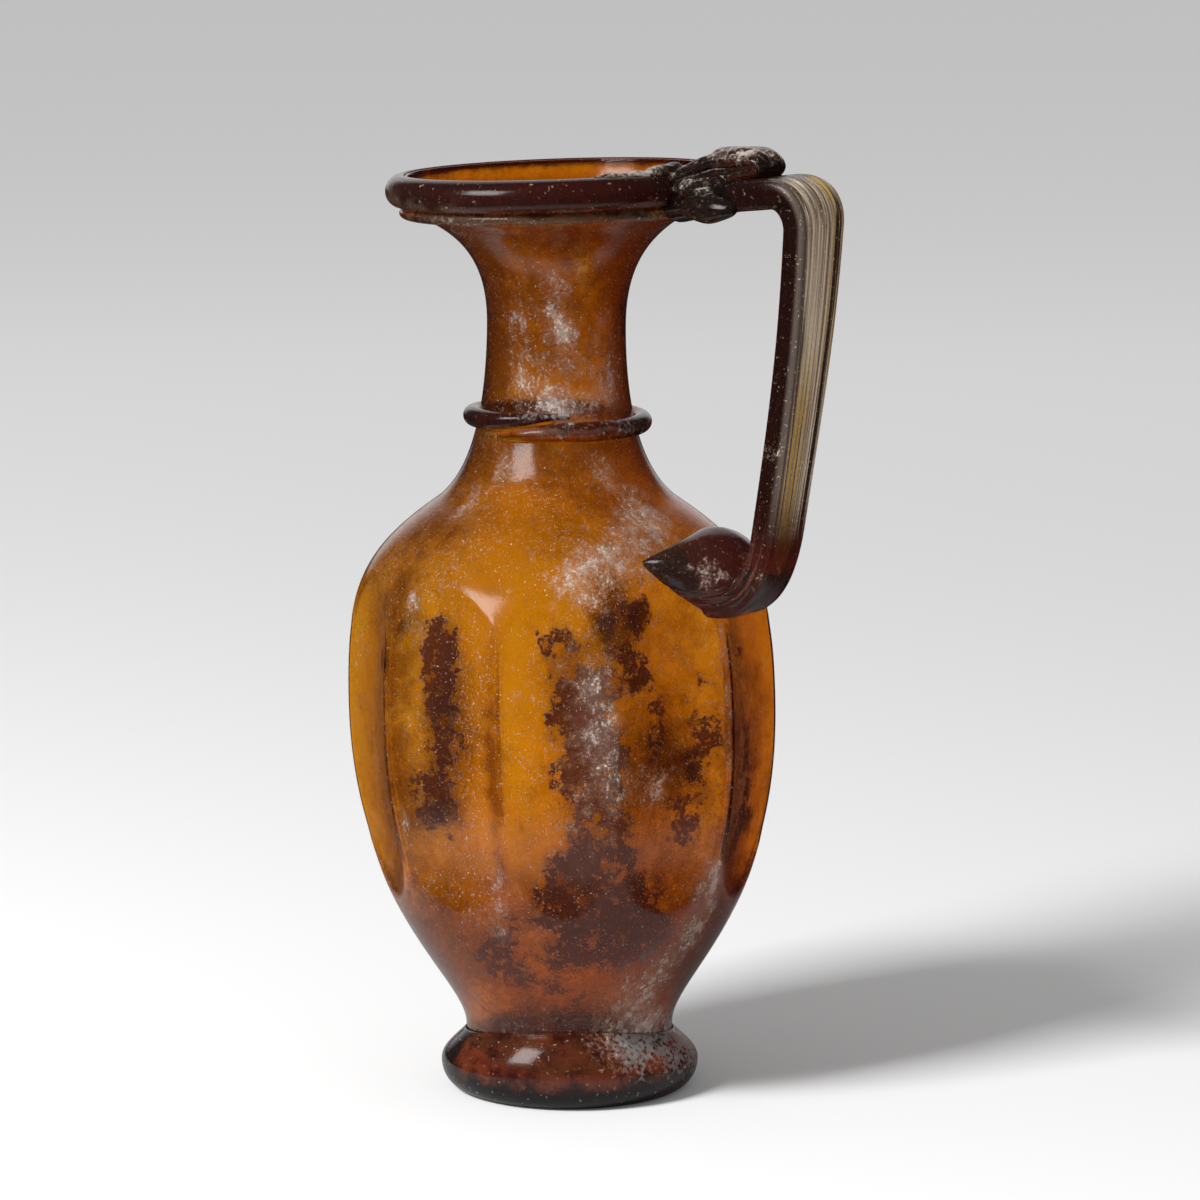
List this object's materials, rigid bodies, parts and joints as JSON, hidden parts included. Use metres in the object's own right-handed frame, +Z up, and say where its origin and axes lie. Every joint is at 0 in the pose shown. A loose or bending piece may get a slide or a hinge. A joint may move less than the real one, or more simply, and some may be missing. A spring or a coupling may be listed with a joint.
{
  "type": "glass jug",
  "caption": "Free-blown amber glass jug with a fluted belly on a pad foot, a trailed neck, a wide trailed mouth, and a ribbed strap handle with a folded thumb rest.",
  "frame": {"origin": "centre of the foot's flat underside, on the surface that the jug stands on", "axes": "+Z up along the vessel's axis, +X towards the handle"},
  "size_m": [0.1269, 0.098, 0.2265],
  "materials": {
    "amber_glass": "blown, glossy, with weathered brown and silvery patches",
    "dark_glass": "thick and nearly black, glossy",
    "strap_glass": "drawn, ribbed lengthways, greyish with golden streaks"
  },
  "bodies": {
    "root": {"vessel": "amber_glass", "foot_pad": "dark_glass", "neck_trail": "dark_glass", "collar_trail": "dark_glass", "rim_trail": "dark_glass", "handle": "strap_glass", "thumb_rest": "strap_glass"}
  },
  "joints": []
}
